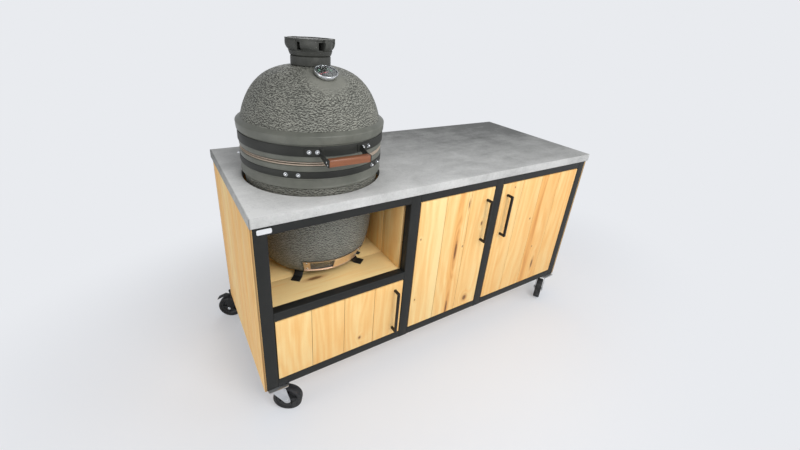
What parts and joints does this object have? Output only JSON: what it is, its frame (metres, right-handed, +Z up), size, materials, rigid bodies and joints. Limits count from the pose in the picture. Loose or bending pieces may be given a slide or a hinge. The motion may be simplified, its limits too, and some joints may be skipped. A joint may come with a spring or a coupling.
{
  "type": "kamado grill table",
  "caption": "Outdoor kitchen table on casters: steel frame, oak boards and doors, concrete worktop with a round cut-out, and a ceramic kamado grill standing in it.",
  "frame": {"origin": "middle of the whole object's footprint, on the floor", "axes": "+X along the table's length, to the right of a person at its front; +Y to the back; +Z up"},
  "size_m": [2.008, 0.808, 1.5199],
  "materials": {
    "frame_steel": "anthracite black powder coat, fine matt grain",
    "handle_steel": "black powder coat, satin",
    "concrete": "trowelled concrete, mottled grey, sealed",
    "oak": "oiled light oak boards with brown streaks and knots",
    "glazed_shell": "pebbled grey-green glaze, soft sheen",
    "fire_clay": "unglazed fire clay",
    "felt": "tan pressed felt",
    "cast_iron": "black enamelled cast iron, satin",
    "stainless": "brushed stainless steel",
    "band_steel": "black coated steel strip, satin",
    "red_wood": "red-brown hardwood, oiled",
    "tyre": "black rubber",
    "wheel_hub": "grey moulded plastic",
    "zinc": "bright zinc plate",
    "caster_black": "black coated pressed steel",
    "chrome": "polished chrome bezel",
    "needle_paint": "red painted needle",
    "lens": "clear glass"
  },
  "bodies": {
    "table": {"frame_front": "frame_steel", "frame_rear": "frame_steel", "worktop": "concrete", "cladding_left": "oak", "cladding_right": "oak", "cladding_back": "oak", "kamado_shelf": "oak", "cabinet_floor": "oak", "divider_upper": "oak", "divider_lower": "oak", "caster_plate_front_left": "zinc", "caster_plate_front_right": "zinc", "caster_plate_rear_left": "caster_black", "caster_plate_rear_right": "caster_black", "kamado_stand": "handle_steel", "base_shell": "glazed_shell", "base_band": "band_steel", "base_gasket": "felt", "draft_frame": "stainless", "draft_screen": "stainless", "firebox": "fire_clay", "fire_ring": "fire_clay", "coal_grate": "cast_iron", "cooking_grate": "stainless", "hinge_base": "band_steel", "hinge_spring": "zinc"},
    "lid": {"lid_shell": "glazed_shell", "lid_band": "band_steel", "lid_gasket": "felt", "hinge_lid": "band_steel", "handle_strap_left": "band_steel", "handle_strap_right": "band_steel", "handle_grip": "red_wood", "chimney_collar": "cast_iron", "gauge_body": "chrome", "gauge_lens": "lens"},
    "dial": {"chimney_dial": "cast_iron"},
    "needle": {"gauge_needle": "needle_paint"},
    "draft": {"draft_plate": "stainless"},
    "door_small": {"small_door": "oak", "small_door_handle": "handle_steel"},
    "door_middle": {"middle_door": "oak", "middle_door_handle": "handle_steel"},
    "door_right": {"right_door": "oak", "right_door_handle": "handle_steel"},
    "swivel_front_left": {"caster_fork_front_left": "zinc"},
    "swivel_front_right": {"caster_fork_front_right": "zinc"},
    "swivel_rear_left": {"caster_fork_rear_left": "caster_black"},
    "swivel_rear_right": {"caster_fork_rear_right": "caster_black"},
    "wheel_front_left": {"caster_wheel_front_left": "wheel_hub", "caster_tyre_front_left": "tyre"},
    "wheel_front_right": {"caster_wheel_front_right": "wheel_hub", "caster_tyre_front_right": "tyre"},
    "wheel_rear_left": {"caster_wheel_rear_left": "wheel_hub", "caster_tyre_rear_left": "tyre"},
    "wheel_rear_right": {"caster_wheel_rear_right": "wheel_hub", "caster_tyre_rear_right": "tyre"},
    "pedal_rear_left": {"brake_pedal_rear_left": "caster_black"},
    "pedal_rear_right": {"brake_pedal_rear_right": "caster_black"}
  },
  "joints": [
    {"name": "lid_hinge", "type": "hinge", "parent": "table", "child": "lid", "pos_m": [-0.575, 0.3115, 1.1003], "axis": [-1, 0, 0], "range_deg": [0, 80]},
    {"name": "dial_turn", "type": "hinge", "parent": "lid", "child": "dial", "pos_m": [-0.575, -0.016, 1.48], "axis": [0, 0, 1], "range_deg": [0, 30]},
    {"name": "needle_turn", "type": "hinge", "parent": "lid", "child": "needle", "pos_m": [-0.575, -0.16968, 1.40098], "axis": [0, 0.3838, -0.9234], "range_deg": [0, 250]},
    {"name": "draft_slide", "type": "hinge", "parent": "table", "child": "draft", "pos_m": [-0.575, -0.016, 0.618], "axis": [0, 0, -1], "range_deg": [0, 26]},
    {"name": "small_door_hinge", "type": "hinge", "parent": "table", "child": "door_small", "pos_m": [-0.866, -0.36, 0.352], "axis": [0, 0, -1], "range_deg": [0, 105]},
    {"name": "middle_door_hinge", "type": "hinge", "parent": "table", "child": "door_middle", "pos_m": [-0.216, -0.36, 0.545], "axis": [0, 0, -1], "range_deg": [0, 105]},
    {"name": "right_door_hinge", "type": "hinge", "parent": "table", "child": "door_right", "pos_m": [0.866, -0.36, 0.545], "axis": [0, 0, 1], "range_deg": [0, 105]},
    {"name": "swivel_turn_front_left", "type": "hinge", "parent": "table", "child": "swivel_front_left", "pos_m": [-0.879, -0.332, 0.13], "axis": [0, 0, 1], "continuous": true},
    {"name": "swivel_turn_front_right", "type": "hinge", "parent": "table", "child": "swivel_front_right", "pos_m": [0.879, -0.332, 0.13], "axis": [0, 0, 1], "continuous": true},
    {"name": "swivel_turn_rear_left", "type": "hinge", "parent": "table", "child": "swivel_rear_left", "pos_m": [-0.899, 0.328, 0.13], "axis": [0, 0, 1], "continuous": true},
    {"name": "swivel_turn_rear_right", "type": "hinge", "parent": "table", "child": "swivel_rear_right", "pos_m": [0.899, 0.328, 0.13], "axis": [0, 0, 1], "continuous": true},
    {"name": "wheel_spin_front_left", "type": "hinge", "parent": "swivel_front_left", "child": "wheel_front_left", "pos_m": [-0.83743, -0.356, 0.0625], "axis": [0.5, 0.866, 0], "continuous": true},
    {"name": "wheel_spin_front_right", "type": "hinge", "parent": "swivel_front_right", "child": "wheel_front_right", "pos_m": [0.83743, -0.356, 0.0625], "axis": [0.5, -0.866, 0], "continuous": true},
    {"name": "wheel_spin_rear_left", "type": "hinge", "parent": "swivel_rear_left", "child": "wheel_rear_left", "pos_m": [-0.94057, 0.352, 0.0625], "axis": [-0.5, -0.866, 0], "continuous": true},
    {"name": "wheel_spin_rear_right", "type": "hinge", "parent": "swivel_rear_right", "child": "wheel_rear_right", "pos_m": [0.94057, 0.352, 0.0625], "axis": [-0.5, 0.866, 0], "continuous": true},
    {"name": "pedal_press_rear_left", "type": "hinge", "parent": "swivel_rear_left", "child": "pedal_rear_left", "pos_m": [-0.93364, 0.348, 0.1307], "axis": [-0.5, -0.866, 0], "range_deg": [0, 8]},
    {"name": "pedal_press_rear_right", "type": "hinge", "parent": "swivel_rear_right", "child": "pedal_rear_right", "pos_m": [0.93364, 0.348, 0.1307], "axis": [-0.5, 0.866, 0], "range_deg": [0, 8]}
  ]
}
